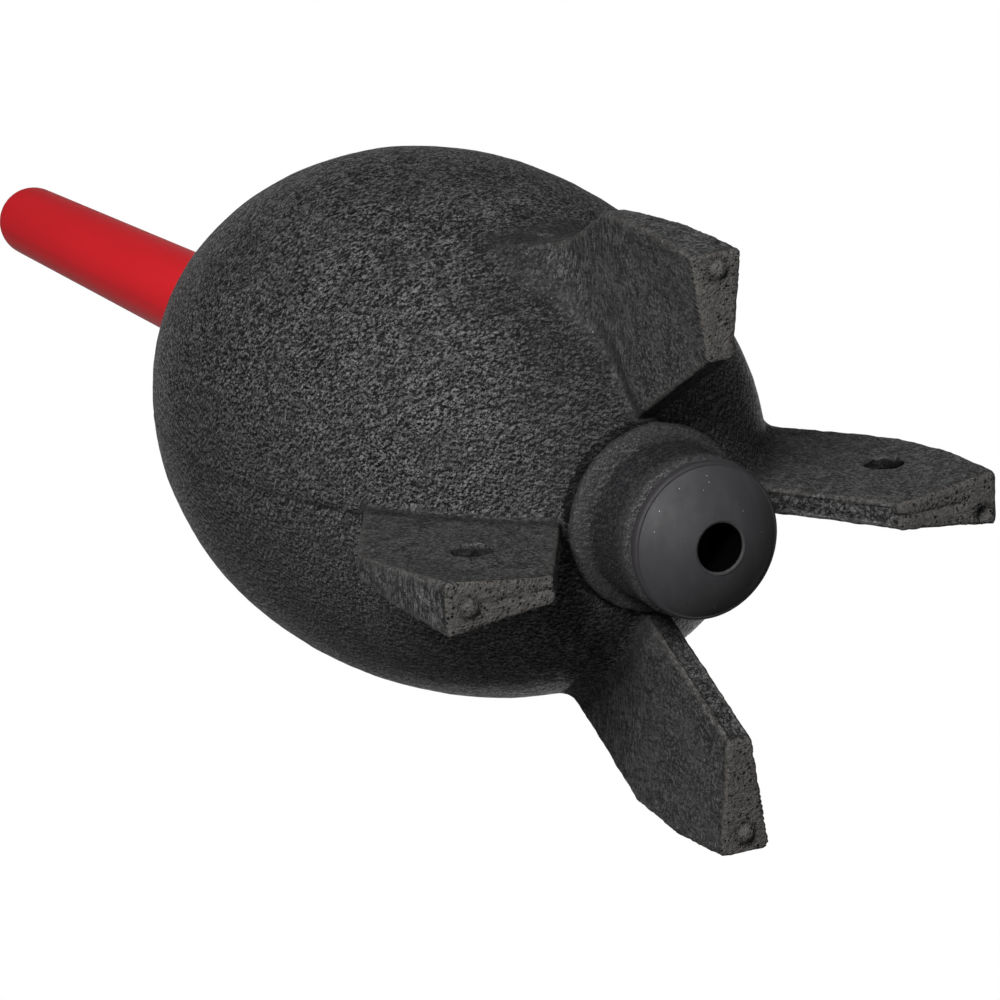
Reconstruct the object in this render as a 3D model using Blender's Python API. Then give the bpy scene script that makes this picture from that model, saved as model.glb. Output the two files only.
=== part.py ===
"""Hand air blower in the shape of a small rocket, standing on its four fins.

Metres, +Z up. The origin is the centre of the plane that the four feet stand on, and +Z runs
along the blower's axis to the tip of the nozzle. The pair of fins with cord holes lies along X.
"""

import math

import bmesh
import bpy
from mathutils import Vector

MM = 0.001
GAP = 0.3  # clearance between neighbouring pieces; every length below is in millimetres

# Whole object
OVERALL_HEIGHT = 190.0
ROUND_STEPS = 48  # straight sides round the bulb
SMALL_STEPS = 36  # and round the smaller turned pieces

# Bulb
BULB_RADIUS = 28.5
BULB_WIDEST_Z = 64.0
BULB_LOWER_HEIGHT = 50.6  # half height of the ellipse that shapes the lower part
WALL = 3.0
NOSE_Z = 118.0
NOSE_FACE_RADIUS = 6.9
NOSE_EDGE_RADIUS = 1.3
SOCKET_RADIUS = 4.9
SOCKET_BOTTOM_Z = 104.0
OGIVE_PULL = ((28.5, 85.0), (17.9, 98.5), (8.1, 116.5))  # Bezier points from the widest circle to the nose
INNER_OGIVE_PULL = ((25.5, 84.0), (16.0, 95.0), (8.5, 102.0))

# Tail neck, which holds the inlet plug
NECK_RADIUS = 7.95
NECK_LIP_RADIUS = 8.15
NECK_RING_RADIUS = 9.5
NECK_BORE_RADIUS = 6.0
NECK_END_Z = 6.1
NECK_EDGE_RADIUS = 0.6
NECK_WAIST_Z = (8.3, 14.2)  # the straight part between the lip and the base ring
NECK_RING_Z = 15.7

# Fins
FIN_FOOT_INNER = 19.1
FIN_FOOT_OUTER = 29.9
FIN_BELLY = (31.0, 10.5)  # the widest point of the leading edge
FIN_KNEE = (30.8, 20.2)
FIN_KNEE_RADIUS = 3.5
FIN_TOP = (21.2, 37.0)  # where the leading edge ends, inside the bulb's wall
FIN_TRAILING_PULL = ((9.2, 17.6), (11.6, 13.4), (15.4, 6.6))  # Bezier points from the wall to the foot
FIN_HALF_THICK = 1.35
FIN_HALF_THICK_FOOT = 2.75  # at the outer corner of the foot
CORD_HOLE_RADIUS = 2.0
CORD_HOLES_AT = {"right": (25.3, 13.6), "left": (21.4, 12.5)}  # out from the axis and up, fin by fin

# Nozzle
NOZZLE_BASE_RADIUS = 5.35
NOZZLE_TIP_RADIUS = 4.45
SPIGOT_LENGTH = 17.0
OUTLET_RADIUS = 1.25
OUTLET_LENGTH = 6.0
AIR_WAY_RADII = (2.9, 2.3)  # at the spigot's end and below the outlet
GROOVE_DEPTH = 0.4
GROOVE_WIDTH = 1.6
GROOVES_UP = (4.0, 9.0)  # above the spigot's end

# Inlet plug and the one-way valve inside it
PLUG_HEAD_RADIUS = 7.88
PLUG_EDGE_RADIUS = 7.6
PLUG_EDGE_Z = 4.87
PLUG_HOLE_RADIUS = 2.36
PLUG_HOLE_Z = 2.05
PLUG_LENGTH = 12.0
VALVE_POCKET_RADIUS = 4.0
VALVE_POCKET_Z = (8.0, 14.7)
POCKET_MOUTH_RADIUS = 3.3
SEAT_BORE_RADIUS = 1.6
SEAT_LIP_RADIUS = 2.3
SEAT_THICK = 2.0
SEAT_LIP_HEIGHT = 0.6
DISC_RADIUS = 2.8
DISC_THICK = 0.6
DISC_EDGE = 0.15
DISC_LIFT = 1.0
CAGE_PLATE = 1.0
CAGE_BOSS_RADIUS = 0.8
AIR_HOLE_RADIUS = 0.75
AIR_HOLE_AT = 2.0


def clear_scene():
    for old in list(bpy.data.objects):
        bpy.data.objects.remove(old, do_unlink=True)


def material(name, colour, roughness, metallic=0.0):
    made = bpy.data.materials.new(name)
    made.use_nodes = True
    shader = made.node_tree.nodes["Principled BSDF"]
    shader.inputs["Base Color"].default_value = (*colour, 1.0)
    shader.inputs["Roughness"].default_value = roughness
    shader.inputs["Metallic"].default_value = metallic
    return made


def arc(centre, radius, start, end, steps):
    """Points (r, z) on a circle, from one angle in degrees to another, both included."""
    angles = [math.radians(start + (end - start) * i / steps) for i in range(steps + 1)]
    return [(centre[0] + radius * math.cos(a), centre[1] + radius * math.sin(a)) for a in angles]


def bezier(p0, p1, p2, p3, steps):
    """Points (r, z) along a cubic Bezier curve, both ends included."""
    points = []
    for i in range(steps + 1):
        t = i / steps
        weights = ((1 - t) ** 3, 3 * t * (1 - t) ** 2, 3 * t * t * (1 - t), t**3)
        points.append(tuple(sum(w * p[k] for w, p in zip(weights, (p0, p1, p2, p3))) for k in (0, 1)))
    return points


def ellipse_below(radius, height, from_radius, steps):
    """The lower part of the egg, from a small radius up to its widest circle."""
    first = math.asin(from_radius / radius)
    angles = [first + (math.pi / 2 - first) * i / steps for i in range(steps + 1)]
    return [(radius * math.sin(a), BULB_WIDEST_Z - height * math.cos(a)) for a in angles]


def link(name, mesh, finish):
    made = bpy.data.objects.new(name, mesh)
    made.data.materials.append(finish)
    bpy.context.scene.collection.objects.link(made)
    return made


def face_out(shape):
    bmesh.ops.recalc_face_normals(shape, faces=shape.faces)


def turned(name, outline, finish, steps=SMALL_STEPS):
    """A piece turned about Z from a closed outline of (r, z) points; a point at r = 0 is on the axis."""
    shape = bmesh.new()
    rings = []
    for r, z in outline:
        if r == 0:
            rings.append([shape.verts.new((0, 0, z * MM))])
            continue
        angles = [2 * math.pi * i / steps for i in range(steps)]
        rings.append([shape.verts.new((r * MM * math.cos(a), r * MM * math.sin(a), z * MM)) for a in angles])
    for lower, upper in zip(rings, rings[1:] + rings[:1]):
        if len(lower) == 1 and len(upper) == 1:
            continue
        for i in range(steps):
            j = (i + 1) % steps
            below = [lower[i % len(lower)], lower[j % len(lower)]]
            above = [upper[j % len(upper)], upper[i % len(upper)]]
            shape.faces.new(list(dict.fromkeys(below + above)))
    face_out(shape)
    mesh = bpy.data.meshes.new(name)
    shape.to_mesh(mesh)
    shape.free()
    mesh.shade_smooth()
    mesh.set_sharp_from_angle(angle=math.radians(35))
    return link(name, mesh, finish)


def as_tool(tool):
    tool.hide_render = True
    tool.display_type = "WIRE"
    return tool


def combine(target, tool, operation):
    step = target.modifiers.new(f"{operation.lower()} {tool.name}", "BOOLEAN")
    step.operation = operation
    step.object = as_tool(tool)
    step.solver = "EXACT"


def bulb_outline():
    """The bulb's outside as a solid: neck, base ring, egg and nose."""
    edge = NECK_EDGE_RADIUS
    low, high = NECK_WAIST_Z
    half_step = (NECK_RING_RADIUS - NECK_RADIUS) / 2
    neck = [(0, NECK_END_Z), (NECK_LIP_RADIUS - edge, NECK_END_Z)]
    neck += arc((NECK_LIP_RADIUS - edge, NECK_END_Z + edge), edge, -60, 0, 2)
    neck += [(NECK_RADIUS, low)]
    soft_step = ((NECK_RADIUS, high), (NECK_RADIUS, high + half_step), (NECK_RING_RADIUS, high))
    neck += bezier(*soft_step, (NECK_RING_RADIUS, NECK_RING_Z), 4)
    egg = ellipse_below(BULB_RADIUS, BULB_LOWER_HEIGHT, NECK_RING_RADIUS, 13)
    ogive = bezier(egg[-1], *OGIVE_PULL, 13)[1:]
    nose = arc((NOSE_FACE_RADIUS, NOSE_Z - NOSE_EDGE_RADIUS), NOSE_EDGE_RADIUS, 20, 90, 3)
    return neck + egg + ogive + nose + [(0, NOSE_Z)]


def cavity_outline():
    """The air space inside, with the nozzle's socket above it and the neck's bore below it."""
    bore = [(0, NECK_END_Z - 2), (NECK_BORE_RADIUS, NECK_END_Z - 2)]
    egg = ellipse_below(BULB_RADIUS - WALL, BULB_LOWER_HEIGHT - WALL, NECK_BORE_RADIUS, 10)
    ogive = bezier(egg[-1], *INNER_OGIVE_PULL, 9)[1:]
    socket = [(SOCKET_RADIUS, SOCKET_BOTTOM_Z), (SOCKET_RADIUS, NOSE_Z + 2), (0, NOSE_Z + 2)]
    return bore + egg + ogive + socket


def rounded_corner(before, corner, after, radius, steps):
    """The arc that rounds off a corner of an outline, starting on the side of the point before it."""
    corner = Vector(corner)
    to_before = (Vector(before) - corner).normalized()
    to_after = (Vector(after) - corner).normalized()
    half = to_before.angle(to_after) / 2
    centre = corner + (to_before + to_after).normalized() * (radius / math.sin(half))
    first = corner + to_before * (radius / math.tan(half)) - centre
    last = corner + to_after * (radius / math.tan(half)) - centre
    points = []
    for i in range(steps + 1):
        way = first.slerp(last, i / steps)  # slerp gives a unit vector
        points.append(tuple(centre + way * radius))
    return points


def fin(name, finish, turn):
    """One fin: a thin blade whose sides spread apart towards the outer corner of its foot."""
    foot = [(FIN_FOOT_INNER, 0.0), (FIN_FOOT_OUTER, 0.0)]
    knee = rounded_corner(FIN_BELLY, FIN_KNEE, FIN_TOP, FIN_KNEE_RADIUS, 4)
    trailing = bezier(*FIN_TRAILING_PULL, foot[0], 7)[:-1]
    outline = foot + [FIN_BELLY] + knee + [FIN_TOP] + trailing
    fold = len(foot) + 1 + len(knee) // 2  # the knee point where the spread ends

    spread = FIN_HALF_THICK_FOOT - FIN_HALF_THICK
    inner, outer, end = Vector(foot[0]), Vector(foot[1]), Vector(outline[fold])
    across = (end - inner).cross(outer - inner)

    def half_thick(index):
        if index > fold:
            return FIN_HALF_THICK
        return FIN_HALF_THICK + spread * (end - inner).cross(Vector(outline[index]) - inner) / across

    shape = bmesh.new()
    left, right = [], []
    for index, (r, z) in enumerate(outline):
        half = half_thick(index)
        left.append(shape.verts.new((r * MM, half * MM, z * MM)))
        right.append(shape.verts.new((r * MM, -half * MM, z * MM)))
    for side in (left, right):
        shape.faces.new(side[: fold + 1])
        shape.faces.new([side[0]] + side[fold:])
    for i in range(len(outline)):
        j = (i + 1) % len(outline)
        shape.faces.new((left[i], left[j], right[j], right[i]))
    face_out(shape)
    mesh = bpy.data.meshes.new(name)
    shape.to_mesh(mesh)
    shape.free()
    made = link(name, mesh, finish)
    made.rotation_euler.z = turn
    return made


def cord_hole_bars(finish):
    """Round bars along Y that cut the cord holes, one through each of the two fins along X."""
    half = 2 * FIN_HALF_THICK_FOOT
    outline = [(0, -half), (CORD_HOLE_RADIUS, -half), (CORD_HOLE_RADIUS, half), (0, half)]
    bars = []
    for side, (r, z) in CORD_HOLES_AT.items():
        bar = turned(f"cord_hole_bar_{side}", outline, finish, 20)
        bar.rotation_euler.x = math.pi / 2
        bar.location = ((r if side == "right" else -r) * MM, 0, z * MM)
        bars.append(bar)
    return bars


def bulb_body():
    rubber = material("black_rubber", (0.045, 0.045, 0.046), 0.62)
    body = turned("bulb_body", bulb_outline(), rubber, ROUND_STEPS)
    for quarter, side in enumerate(("right", "upper", "left", "lower")):
        combine(body, fin(f"fin_{side}", rubber, quarter * math.pi / 2), "UNION")
    combine(body, turned("cavity", cavity_outline(), rubber, ROUND_STEPS), "DIFFERENCE")
    for bar in cord_hole_bars(rubber):
        combine(body, bar, "DIFFERENCE")
    return body


def nozzle():
    """A tapered tube with a round tip; its spigot, with two grip grooves, sits in the bulb's socket."""
    red = material("red_plastic", (0.62, 0.013, 0.02), 0.35)
    base_z = NOSE_Z + GAP
    end_z = base_z - SPIGOT_LENGTH
    spigot = SOCKET_RADIUS - GAP
    tip_centre = OVERALL_HEIGHT - math.sqrt(NOZZLE_TIP_RADIUS**2 - OUTLET_RADIUS**2)
    rim_angle = math.degrees(math.acos(OUTLET_RADIUS / NOZZLE_TIP_RADIUS))
    outline = [(AIR_WAY_RADII[0], end_z), (spigot - 0.5, end_z), (spigot, end_z + 0.7)]
    for up in GROOVES_UP:
        low, high = end_z + up, end_z + up + GROOVE_WIDTH
        slope = GROOVE_WIDTH / 5
        outline += [(spigot, low), (spigot - GROOVE_DEPTH, low + slope)]
        outline += [(spigot - GROOVE_DEPTH, high - slope), (spigot, high)]
    outline += [(spigot, base_z), (NOZZLE_BASE_RADIUS - 0.3, base_z), (NOZZLE_BASE_RADIUS, base_z + 0.3)]
    outline += arc((0, tip_centre), NOZZLE_TIP_RADIUS, 0, rim_angle, 9)
    outline += [(OUTLET_RADIUS, OVERALL_HEIGHT - OUTLET_LENGTH)]
    outline += [(AIR_WAY_RADII[1], OVERALL_HEIGHT - 2 * OUTLET_LENGTH)]
    return turned("nozzle", outline, red)


def inlet_plug():
    """The smooth stopper in the tail neck: domed face, centre hole, and a pocket for the valve."""
    smooth = material("smooth_black_rubber", (0.075, 0.075, 0.077), 0.45)
    head_under = NECK_END_Z - GAP
    shank = NECK_BORE_RADIUS - GAP
    end_z = head_under + PLUG_LENGTH
    rise = PLUG_EDGE_Z - PLUG_HOLE_Z
    run = PLUG_EDGE_RADIUS**2 - PLUG_HOLE_RADIUS**2
    dome_centre = PLUG_HOLE_Z + (rise**2 + run) / (2 * rise)
    dome = math.hypot(PLUG_HOLE_RADIUS, dome_centre - PLUG_HOLE_Z)
    start = -math.degrees(math.acos(PLUG_HOLE_RADIUS / dome))
    end = -math.degrees(math.acos(PLUG_EDGE_RADIUS / dome))
    outline = arc((0, dome_centre), dome, start, end, 7)
    outline += [(PLUG_HEAD_RADIUS, PLUG_EDGE_Z + 0.25), (PLUG_HEAD_RADIUS, head_under)]
    outline += [(shank, head_under), (shank, end_z - 0.8), (shank - 0.6, end_z)]
    pocket_low, pocket_high = VALVE_POCKET_Z
    outline += [(POCKET_MOUTH_RADIUS, end_z), (POCKET_MOUTH_RADIUS, pocket_high)]
    outline += [(VALVE_POCKET_RADIUS, pocket_high)]
    outline += [(VALVE_POCKET_RADIUS, pocket_low), (PLUG_HOLE_RADIUS, pocket_low)]
    return turned("inlet_plug", outline, smooth)


def seat_z():
    """The heights of the seat's underside, its shoulder and its lip."""
    low = VALVE_POCKET_Z[0] + GAP
    return low, low + SEAT_THICK, low + SEAT_THICK + SEAT_LIP_HEIGHT


def valve_seat():
    """A ring with a raised lip that the disc closes against."""
    clear = material("clear_plastic", (0.55, 0.56, 0.57), 0.3)
    low, shoulder, lip = seat_z()
    outer = VALVE_POCKET_RADIUS - GAP
    outline = [(SEAT_BORE_RADIUS, low), (outer, low), (outer, shoulder), (SEAT_LIP_RADIUS, shoulder)]
    outline += [(SEAT_LIP_RADIUS - 0.15, lip), (SEAT_BORE_RADIUS, lip)]
    return turned("valve_seat", outline, clear, 32)


def valve_disc():
    """The thin disc that lifts off the seat when air is drawn in."""
    soft = material("disc_rubber", (0.35, 0.03, 0.03), 0.55)
    low = seat_z()[2] + GAP
    high = low + DISC_THICK
    outline = [(0, low), (DISC_RADIUS - DISC_EDGE, low), (DISC_RADIUS, low + DISC_EDGE)]
    outline += [(DISC_RADIUS, high - DISC_EDGE), (DISC_RADIUS - DISC_EDGE, high), (0, high)]
    return turned("valve_disc", outline, soft, 32)


def valve_cage():
    """A small cup over the disc, with four air holes and a centre boss that stops the disc's lift."""
    white = material("white_plastic", (0.72, 0.72, 0.70), 0.4)
    _, shoulder, lip = seat_z()
    low = shoulder + GAP
    high = VALVE_POCKET_Z[1] - GAP
    outer = VALVE_POCKET_RADIUS - GAP
    inner = DISC_RADIUS + GAP
    plate = high - CAGE_PLATE
    boss = lip + GAP + DISC_THICK + DISC_LIFT + GAP / 3
    outline = [(0, boss), (CAGE_BOSS_RADIUS, boss), (CAGE_BOSS_RADIUS, plate), (inner, plate), (inner, low)]
    outline += [(outer, low), (outer, high), (0, high)]
    cage = turned("valve_cage", outline, white, 32)
    hole = [(0, boss), (AIR_HOLE_RADIUS, boss), (AIR_HOLE_RADIUS, high + 1), (0, high + 1)]
    for i in range(4):
        bar = turned(f"air_hole_bar_{i + 1}", hole, white, 12)
        angle = math.pi / 4 + i * math.pi / 2
        bar.location = (AIR_HOLE_AT * MM * math.cos(angle), AIR_HOLE_AT * MM * math.sin(angle), 0)
        combine(cage, bar, "DIFFERENCE")
    return cage


def main():
    clear_scene()
    bulb_body()
    nozzle()
    inlet_plug()
    valve_seat()
    valve_disc()
    valve_cage()


main()
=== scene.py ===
"""The looks of the dust blower bulb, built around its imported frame.

The frame gives every place. Lengths in the shape functions are millimetres, in the frame's own axes: the
feet stand on z = 0, the nozzle points along +Z, and the two fins with cord holes lie along X.
"""

import math

import bmesh
import bpy
import numpy as np
from mathutils import Matrix, Vector, noise

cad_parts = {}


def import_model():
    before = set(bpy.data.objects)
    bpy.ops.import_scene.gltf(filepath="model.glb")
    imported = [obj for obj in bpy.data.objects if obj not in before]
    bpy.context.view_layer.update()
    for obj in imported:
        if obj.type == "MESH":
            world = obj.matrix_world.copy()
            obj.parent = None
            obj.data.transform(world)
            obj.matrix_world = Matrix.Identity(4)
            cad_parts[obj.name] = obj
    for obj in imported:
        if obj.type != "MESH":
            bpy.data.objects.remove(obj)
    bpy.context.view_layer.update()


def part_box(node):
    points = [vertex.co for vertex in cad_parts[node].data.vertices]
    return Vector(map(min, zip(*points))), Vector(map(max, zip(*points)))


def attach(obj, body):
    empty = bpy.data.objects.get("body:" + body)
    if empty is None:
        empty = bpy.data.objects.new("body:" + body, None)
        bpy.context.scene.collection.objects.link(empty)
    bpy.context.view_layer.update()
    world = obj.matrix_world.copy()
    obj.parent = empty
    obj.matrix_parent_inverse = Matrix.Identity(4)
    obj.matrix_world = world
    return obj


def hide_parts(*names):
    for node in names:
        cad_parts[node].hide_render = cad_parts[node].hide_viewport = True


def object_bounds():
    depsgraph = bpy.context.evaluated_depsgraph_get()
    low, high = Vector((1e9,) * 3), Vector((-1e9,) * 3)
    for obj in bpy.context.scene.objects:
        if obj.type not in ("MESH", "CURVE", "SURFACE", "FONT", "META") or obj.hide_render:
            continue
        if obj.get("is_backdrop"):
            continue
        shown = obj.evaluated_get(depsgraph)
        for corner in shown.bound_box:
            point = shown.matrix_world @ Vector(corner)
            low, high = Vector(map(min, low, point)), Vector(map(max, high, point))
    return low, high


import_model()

MM = 0.001


def node_box(node):
    """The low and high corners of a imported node, in millimetres."""
    return [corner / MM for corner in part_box(node)]


# Places read from the frame
NOSE_Z = node_box("bulb_body")[1].z
NOZZLE_LOW, NOZZLE_HIGH = node_box("nozzle")
PLUG_LOW, PLUG_HIGH = node_box("inlet_plug")
SEAT_LOW, SEAT_HIGH = node_box("valve_seat")
DISC_LOW, DISC_HIGH = node_box("valve_disc")
CAGE_LOW, CAGE_HIGH = node_box("valve_cage")

# Bulb; the points of its curves are (r, z)
BULB_RADIUS = 28.5
WIDEST_Z = 64.0
LOWER_HEIGHT = 50.6
NOSE_FACE_RADIUS = 6.9
NOSE_EDGE = 1.3
OGIVE = ((BULB_RADIUS, WIDEST_Z), (BULB_RADIUS, 85.0), (17.9, 98.5), (8.1, 116.5))
WALL = 3.0
INNER_OGIVE = ((BULB_RADIUS - WALL, WIDEST_Z), (BULB_RADIUS - WALL, 84.0), (16.0, 95.0), (8.5, 102.0))
SOCKET_RADIUS = 4.9
SOCKET_BOTTOM_Z = 104.0
MOUTH_BEVEL = 0.3

# Tail neck
NECK_END_Z = 6.1
NECK_BORE = 6.0
NECK_RADIUS = 7.95
NECK_LIP_RADIUS = 8.15
LIP_ROUND = 0.8
LIP_TAPER = ((NECK_RADIUS + 0.06, 7.9), (NECK_RADIUS, 8.6))
RING_RADIUS = 9.5
RING_TOP_Z = 15.55
RING_FLARE = ((NECK_RADIUS, 13.2), (NECK_RADIUS, 14.5), (RING_RADIUS - 0.1, 13.9), (RING_RADIUS, 14.9))
CREVICE_RADIUS = 8.9
CREVICE_HEIGHT = 0.3

# Fins
# Each fin came out of the mould a little different: the foot's outer corner, the belly and knee of its
# leading edge, and where that edge ends inside the bulb's wall, as (u, z) in the fin's own plane.
FINS = {
    "right": ((29.9, 0.0), (31.5, 10.5), (31.3, 20.6), (21.4, 37.2)),
    "upper": ((30.5, 0.0), (31.4, 10.5), (30.8, 20.2), (21.2, 37.0)),
    "left": ((30.2, 0.0), (31.0, 9.5), (31.0, 18.2), (21.4, 36.8)),
    "lower": ((29.5, 0.0), (30.3, 10.5), (30.1, 20.6), (21.2, 36.6)),
}
FOOT_INNER = 19.1
KNEE_RADIUS = 3.0
KNEE_STEPS = 12
TRAILING = ((9.2, 17.6), (11.6, 13.4), (15.4, 6.6), (FOOT_INNER, 0.0))
HALF_THICK = 1.35
HALF_THICK_FOOT = 2.75
ROOT_FILLET = 1.4
EDGE_ROUND = 0.45
LOWER_FIN_BLEND = 6.0
LOWER_FIN_BLEND_Z = (19, 33)  # the lower fin melts into the bulb more and more between these heights
CORD_HOLES = {"right": (25.3, 13.6), "left": (21.4, 12.5)}  # centres, as (u, z)
CORD_HOLE_RADIUS = 2.0
CORD_HOLE_ROUND = 0.35
CORD_HOLE_REGION = 15  # a hole cuts nothing nearer the axis than this

# Moulding pips under three feet and a pit in the fourth; their places are (x, y)
PIPS = ((-28.0, 0.0), (0.0, 28.6), (0.0, -27.9))
PIP_RADIUS = 1.0
PIP_CENTRE_Z = 0.3
PIP_FILLET = 0.15
PIT = (28.4, 1.4)
PIT_RADIUS = 0.8
PIT_ROUND = 0.2


# ---- Outlines: points (r, z), in millimetres ----


def arc(centre, radius, start, end, steps):
    """Points on a circle from one angle in degrees to another, both included."""
    angles = np.radians(np.linspace(start, end, steps + 1))
    return [(centre[0] + radius * math.cos(a), centre[1] + radius * math.sin(a)) for a in angles]


def bezier(p0, p1, p2, p3, steps):
    """Points on a cubic curve, both ends included."""
    points = []
    for t in np.linspace(0, 1, steps + 1):
        weights = ((1 - t) ** 3, 3 * t * (1 - t) ** 2, 3 * t * t * (1 - t), t**3)
        points.append(tuple(float(sum(w * p[k] for w, p in zip(weights, (p0, p1, p2, p3)))) for k in (0, 1)))
    return points


def ellipse_below(radius, height, from_radius, steps):
    """The lower part of the egg, from a small radius up to its widest circle."""
    angles = np.linspace(math.asin(from_radius / radius), math.pi / 2, steps + 1)
    return [(radius * math.sin(a), WIDEST_Z - height * math.cos(a)) for a in angles]


def nose_end():
    """The nose's rounded edge and its flat face."""
    return arc((NOSE_FACE_RADIUS, NOSE_Z - NOSE_EDGE), NOSE_EDGE, 20, 90, 10) + [(0, NOSE_Z)]


def turned_outline():
    """The outside of the bulb without its fins: neck, base ring, crevice, egg and nose."""
    lip = NECK_LIP_RADIUS - LIP_ROUND
    neck = [(0, NECK_END_Z), (lip, NECK_END_Z)] + arc((lip, NECK_END_Z + LIP_ROUND), LIP_ROUND, -80, 10, 8)
    neck += [*LIP_TAPER, *bezier(*RING_FLARE, 12)]
    neck += [(RING_RADIUS, RING_TOP_Z), (CREVICE_RADIUS, RING_TOP_Z + CREVICE_HEIGHT)]
    egg = ellipse_below(BULB_RADIUS, LOWER_HEIGHT, CREVICE_RADIUS, 90)
    return neck + egg + bezier(*OGIVE, 90)[1:] + nose_end()


def knee_arc(belly, knee, top):
    """The round corner in a fin's leading edge."""
    corner = Vector(knee)
    to_foot = (Vector(belly) - corner).normalized()
    to_top = (Vector(top) - corner).normalized()
    half = to_foot.angle(to_top) / 2
    centre = corner + (to_foot + to_top).normalized() * (KNEE_RADIUS / math.sin(half))
    first = corner + to_foot * (KNEE_RADIUS / math.tan(half)) - centre
    last = corner + to_top * (KNEE_RADIUS / math.tan(half)) - centre
    shares = np.linspace(0, 1, KNEE_STEPS + 1)
    return [tuple(centre + first.slerp(last, share) * KNEE_RADIUS) for share in shares]


def fin_outline(foot, belly, knee, top):
    """A fin from the side: foot, leading edge, and the trailing curve that comes back to the foot."""
    return [(FOOT_INNER, 0), foot, belly] + knee_arc(belly, knee, top) + [top] + bezier(*TRAILING, 30)[:-1]


# ---- Distance fields: negative inside, in millimetres ----


def outline_distance(r, z, outline, closed_on_axis):
    """Signed distance from points (r, z) to a closed outline; an edge on the axis isn't a wall."""
    nearest = np.full(r.shape, 1e9)
    inside = np.zeros(r.shape, bool)
    for (ra, za), (rb, zb) in zip(outline, outline[1:] + outline[:1]):
        dr, dz = rb - ra, zb - za
        if za != zb:
            crosses = (z < max(za, zb)) & (z >= min(za, zb))
            inside ^= crosses & (r < ra + (z - za) * dr / dz)
        if closed_on_axis and ra == 0 and rb == 0:
            continue
        along = np.clip(((r - ra) * dr + (z - za) * dz) / max(dr * dr + dz * dz, 1e-12), 0, 1)
        nearest = np.minimum(nearest, (r - ra - along * dr) ** 2 + (z - za - along * dz) ** 2)
    return np.where(inside, -1, 1) * np.sqrt(nearest)


class Table:
    """Signed distances to an outline on a fine grid, read back between its points."""

    STEP = 0.1

    def __init__(self, outline, high, low_z, high_z, closed_on_axis=True):
        self.low_z = low_z
        r = np.arange(0, high + self.STEP, self.STEP)
        z = np.arange(low_z, high_z + self.STEP, self.STEP)
        grid = np.meshgrid(r, z, indexing="ij")
        self.values = outline_distance(*grid, outline, closed_on_axis).astype(np.float32)

    def __call__(self, r, z):
        rows, columns = self.values.shape
        a = np.clip(r / self.STEP, 0, rows - 1.001)
        b = np.clip((z - self.low_z) / self.STEP, 0, columns - 1.001)
        i, j = a.astype(np.int32), b.astype(np.int32)
        a, b = a - i, b - j
        v = self.values
        low = v[i, j] * (1 - a) + v[i + 1, j] * a
        high = v[i, j + 1] * (1 - a) + v[i + 1, j + 1] * a
        return low * (1 - b) + high * b


def smooth_min(a, b, width):
    """The smaller of two distances, with a round blend where they meet."""
    near = np.maximum(width - np.abs(a - b), 0) / width
    return np.minimum(a, b) - near * near * width / 4


def smooth_max(a, b, width):
    return -smooth_min(-a, -b, width)


def ramp(value, low, high):
    """A soft step from 0 at low to 1 at high."""
    t = np.clip((value - low) / (high - low), 0, 1)
    return t * t * (3 - 2 * t)


def fade(value, low, high):
    """A soft step from 1 at low to 0 at high."""
    return 1 - ramp(value, low, high)


# The tables reach a little beyond the bulb and its fins
TABLE_RADIUS, TABLE_LOW_Z, BULB_TABLE_HIGH_Z, FIN_TABLE_HIGH_Z = 36, -3, 122, 42
TURNED = Table(turned_outline(), TABLE_RADIUS, TABLE_LOW_Z, BULB_TABLE_HIGH_Z)
OUTLINES = {}
for fin_name, fin_marks in FINS.items():
    side_view = fin_outline(*fin_marks)
    OUTLINES[fin_name] = Table(side_view, TABLE_RADIUS, TABLE_LOW_Z, FIN_TABLE_HIGH_Z, closed_on_axis=False)


def half_thickness(u, z, marks):
    """Half a fin's thickness: even over the blade, spreading towards the outer corner of the foot."""
    inner, outer = Vector((FOOT_INNER, 0)), Vector(marks[0])
    end = Vector(knee_arc(*marks[1:])[KNEE_STEPS // 2])
    across = (end - inner).cross(outer - inner)
    share = ((end.x - inner.x) * z - (end.y - inner.y) * (u - inner.x)) / across
    soft, straight, most = 0.07, 40, 1.3
    bent = soft * np.log1p(np.exp(np.minimum(share / soft, straight)))
    share = np.minimum(np.where(share > straight * soft, share, bent), most)
    return HALF_THICK + (HALF_THICK_FOOT - HALF_THICK) * share


def fin_planes(x, y):
    """u along the nearest fin, v across it, and whether that fin is one of the pair along X."""
    along_x = np.abs(x) > np.abs(y)
    u = np.where(along_x, np.abs(x), np.abs(y))
    v = np.where(along_x, np.abs(y), np.abs(x))
    return u, v, along_x


def nearest_fin(x, y):
    """For each fin, which of these points lie in its quarter."""
    along_x = np.abs(x) > np.abs(y)
    return {
        "right": along_x & (x > 0),
        "upper": ~along_x & (y > 0),
        "left": along_x & (x <= 0),
        "lower": ~along_x & (y <= 0),
    }


def bulb_parts(x, y, z):
    """The distances to the turned body, to the fin's outline and to the fin's sides."""
    u, v, _ = fin_planes(x, y)
    outline, half = np.empty(u.shape), np.empty(u.shape)
    for name, here in nearest_fin(x, y).items():
        at = np.broadcast_to(here, u.shape)
        high = np.broadcast_to(z, u.shape)[at]
        outline[at] = OUTLINES[name](u[at], high)
        half[at] = half_thickness(u[at], high, FINS[name])
    return TURNED(np.hypot(x, y), z), outline, v - half


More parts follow.
